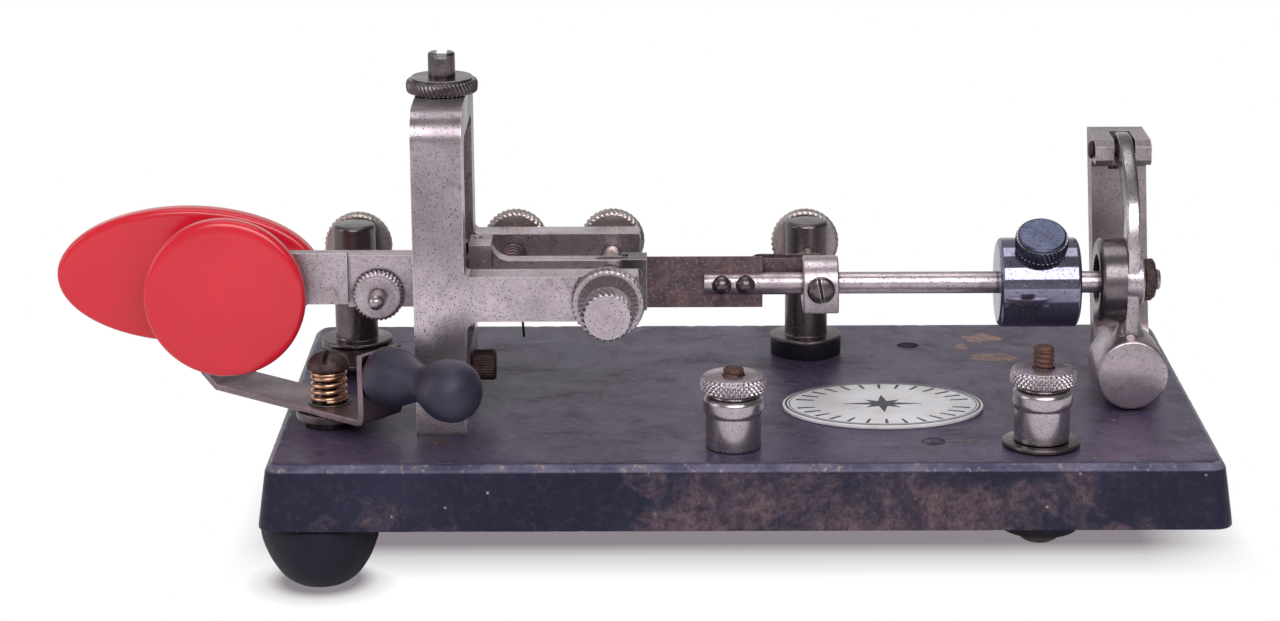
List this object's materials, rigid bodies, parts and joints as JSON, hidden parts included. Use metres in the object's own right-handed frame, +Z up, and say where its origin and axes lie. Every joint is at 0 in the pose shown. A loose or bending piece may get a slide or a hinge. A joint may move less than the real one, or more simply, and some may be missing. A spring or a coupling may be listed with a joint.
{
  "type": "semi-automatic telegraph key",
  "caption": "Hand-worked telegraph key on a heavy base: thumb paddle and finger knob work sprung levers, a weighted vibrating rod makes dots, a swinging damper stills it.",
  "frame": {"origin": "bottom centre of the whole object's bounding box, on the plane the rubber feet stand on", "axes": "+X along the base from the finger pieces to the damper, +Y from the front side with the binding posts to the back side with the contact posts, +Z up"},
  "size_m": [0.2058, 0.0906, 0.0888],
  "materials": {
    "japanned_iron": "dark blue-black japan, worn and rust-flecked",
    "black_rubber": "matt black rubber",
    "dull_nickel": "dulled nickel plate with dark pits",
    "chrome": "polished plate, slightly pitted",
    "rusted_steel": "brown rusted steel",
    "steel": "grey steel, stained",
    "bronze_spring": "drawn bronze wire",
    "brass": "plain brass",
    "red_plastic": "smooth moulded red plastic",
    "black_bakelite": "aged black moulding",
    "black_insulator": "black hard fibre",
    "fibre": "brown fibre strip",
    "enamel_badge": "white enamelled plate with a dark border"
  },
  "bodies": {
    "base_unit": {"base": "japanned_iron", "rubber_feet": "black_rubber", "base_screws": "steel", "name_plate": "enamel_badge", "plug_screws": "rusted_steel", "contact_strap": "brass", "underside_insulation": "fibre", "binding_posts": "dull_nickel", "binding_studs": "rusted_steel", "binding_washer": "black_insulator", "yoke_frame": "dull_nickel", "lower_pivot_pin": "steel", "dash_post": "dull_nickel", "dot_post": "dull_nickel", "post_screws": "steel", "post_insulators": "black_insulator", "closer_contact_plate": "dull_nickel", "closer_pivot_screw": "rusted_steel", "closer_washers": "steel", "closer_spring": "bronze_spring", "damper_bracket": "dull_nickel", "damper_pin": "dull_nickel", "dot_return_spring": "bronze_spring"},
    "dot_lever_set": {"dot_lever": "dull_nickel", "thumb_paddle": "red_plastic", "paddle_screws": "steel", "spring_clamp": "dull_nickel", "main_spring": "rusted_steel", "dash_spring_stud": "dull_nickel", "dash_return_spring": "bronze_spring"},
    "dash_tension_nut": {"dash_tension_nut": "dull_nickel"},
    "rod_set": {"vibrator_rod": "dull_nickel", "rod_rivets": "dull_nickel", "contact_collar": "dull_nickel", "collar_screw": "dull_nickel", "contact_spring": "rusted_steel", "dot_contact": "brass"},
    "weight": {"speed_weight": "chrome"},
    "weight_thumbscrew": {"weight_thumbscrew": "chrome"},
    "dash_lever_set": {"dash_lever": "dull_nickel", "finger_knob": "red_plastic", "knob_screw": "steel", "dash_contact": "brass"},
    "trunnion_screw": {"trunnion_screw": "dull_nickel"},
    "trunnion_lock_nut": {"trunnion_lock_nut": "dull_nickel"},
    "lower_lock_screw": {"lower_lock_screw": "rusted_steel"},
    "front_stop_screw": {"front_stop_screw": "dull_nickel"},
    "front_stop_nut": {"front_stop_nut": "dull_nickel"},
    "rear_stop_screw": {"rear_stop_screw": "dull_nickel"},
    "dot_spring_screw": {"dot_spring_screw": "dull_nickel"},
    "dash_contact_screw": {"dash_contact_screw": "dull_nickel"},
    "dot_contact_screw": {"dot_contact_screw": "dull_nickel"},
    "left_binding_nut": {"left_binding_nut": "dull_nickel"},
    "right_binding_nut": {"right_binding_nut": "dull_nickel"},
    "closer_set": {"closer_lever": "steel", "closer_knob": "black_bakelite"},
    "damper_set": {"damper_arm": "dull_nickel", "damper_ring": "dull_nickel", "ring_bolt": "rusted_steel"}
  },
  "joints": [
    {"name": "dot_lever_pivot", "type": "hinge", "parent": "base_unit", "child": "dot_lever_set", "pos_m": [-0.03298, -0.0089, 0.0467], "axis": [0, 0, 1], "range_deg": [0, 0.9], "stiffness_Nm_per_rad": 2, "springref_deg": -0.57, "deforming": ["dot_return_spring"]},
    {"name": "dash_lever_pivot", "type": "hinge", "parent": "base_unit", "child": "dash_lever_set", "pos_m": [-0.03298, -0.0089, 0.0467], "axis": [0, 0, 1], "range_deg": [-1.5, 0], "stiffness_Nm_per_rad": 2, "springref_deg": 0.69, "deforming": ["dash_return_spring"]},
    {"name": "main_spring_flex", "type": "hinge", "parent": "dot_lever_set", "child": "rod_set", "pos_m": [0.00952, -0.0089, 0.0467], "axis": [0, 0, 1], "range_deg": [-0.5, 0.5], "stiffness_Nm_per_rad": 1.9, "deforming": ["main_spring"]},
    {"name": "weight_slide", "type": "slide", "parent": "rod_set", "child": "weight", "axis": [1, 0, 0], "range_m": [-0.028, 0.0025]},
    {"name": "weight_thumbscrew_turn", "type": "hinge", "parent": "weight", "child": "weight_thumbscrew", "pos_m": [0.07232, -0.0089, 0.0467], "axis": [0, -0.5, 0.866], "continuous": true},
    {"name": "dash_tension_nut_turn", "type": "hinge", "parent": "dot_lever_set", "child": "dash_tension_nut", "pos_m": [-0.04468, -0.014, 0.0463], "axis": [0, -1, 0], "continuous": true},
    {"name": "trunnion_screw_turn", "type": "hinge", "parent": "base_unit", "child": "trunnion_screw", "pos_m": [-0.03298, -0.0089, 0.0727], "axis": [0, 0, 1], "continuous": true},
    {"name": "trunnion_lock_nut_turn", "type": "hinge", "parent": "base_unit", "child": "trunnion_lock_nut", "pos_m": [-0.03298, -0.0089, 0.0827], "axis": [0, 0, 1], "continuous": true},
    {"name": "lower_lock_screw_turn", "type": "hinge", "parent": "base_unit", "child": "lower_lock_screw", "pos_m": [-0.02648, -0.0089, 0.0317], "axis": [1, 0, 0], "continuous": true},
    {"name": "front_stop_screw_turn", "type": "hinge", "parent": "base_unit", "child": "front_stop_screw", "pos_m": [-0.00378, -0.03, 0.0485], "axis": [0, -1, 0], "continuous": true},
    {"name": "front_stop_nut_turn", "type": "hinge", "parent": "base_unit", "child": "front_stop_nut", "pos_m": [-0.00378, -0.028, 0.0485], "axis": [0, -1, 0], "continuous": true},
    {"name": "rear_stop_screw_turn", "type": "hinge", "parent": "base_unit", "child": "rear_stop_screw", "pos_m": [-0.00368, 0.01, 0.0488], "axis": [0, 1, 0], "continuous": true},
    {"name": "dot_spring_screw_turn", "type": "hinge", "parent": "base_unit", "child": "dot_spring_screw", "pos_m": [-0.02158, 0.01, 0.0488], "axis": [0, 1, 0], "continuous": true},
    {"name": "dash_contact_screw_turn", "type": "hinge", "parent": "base_unit", "child": "dash_contact_screw", "pos_m": [-0.05248, 0.0235, 0.04365], "axis": [0, 1, 0], "continuous": true},
    {"name": "dot_contact_screw_turn", "type": "hinge", "parent": "base_unit", "child": "dot_contact_screw", "pos_m": [0.03277, 0.0246, 0.04365], "axis": [0, 1, 0], "continuous": true},
    {"name": "left_binding_nut_turn", "type": "hinge", "parent": "base_unit", "child": "left_binding_nut", "pos_m": [0.01772, -0.0334, 0.0347], "axis": [0, 0, 1], "continuous": true},
    {"name": "right_binding_nut_turn", "type": "hinge", "parent": "base_unit", "child": "right_binding_nut", "pos_m": [0.07092, -0.033, 0.0357], "axis": [0, 0, 1], "continuous": true},
    {"name": "closer_swing", "type": "hinge", "parent": "base_unit", "child": "closer_set", "pos_m": [-0.05338, -0.0196, 0.0277], "axis": [0, 0, 1], "range_deg": [-40, 0]},
    {"name": "damper_swing", "type": "hinge", "parent": "base_unit", "child": "damper_set", "pos_m": [0.08902, 0.007, 0.0672], "axis": [1, 0, 0], "range_deg": [-3, 0]}
  ]
}
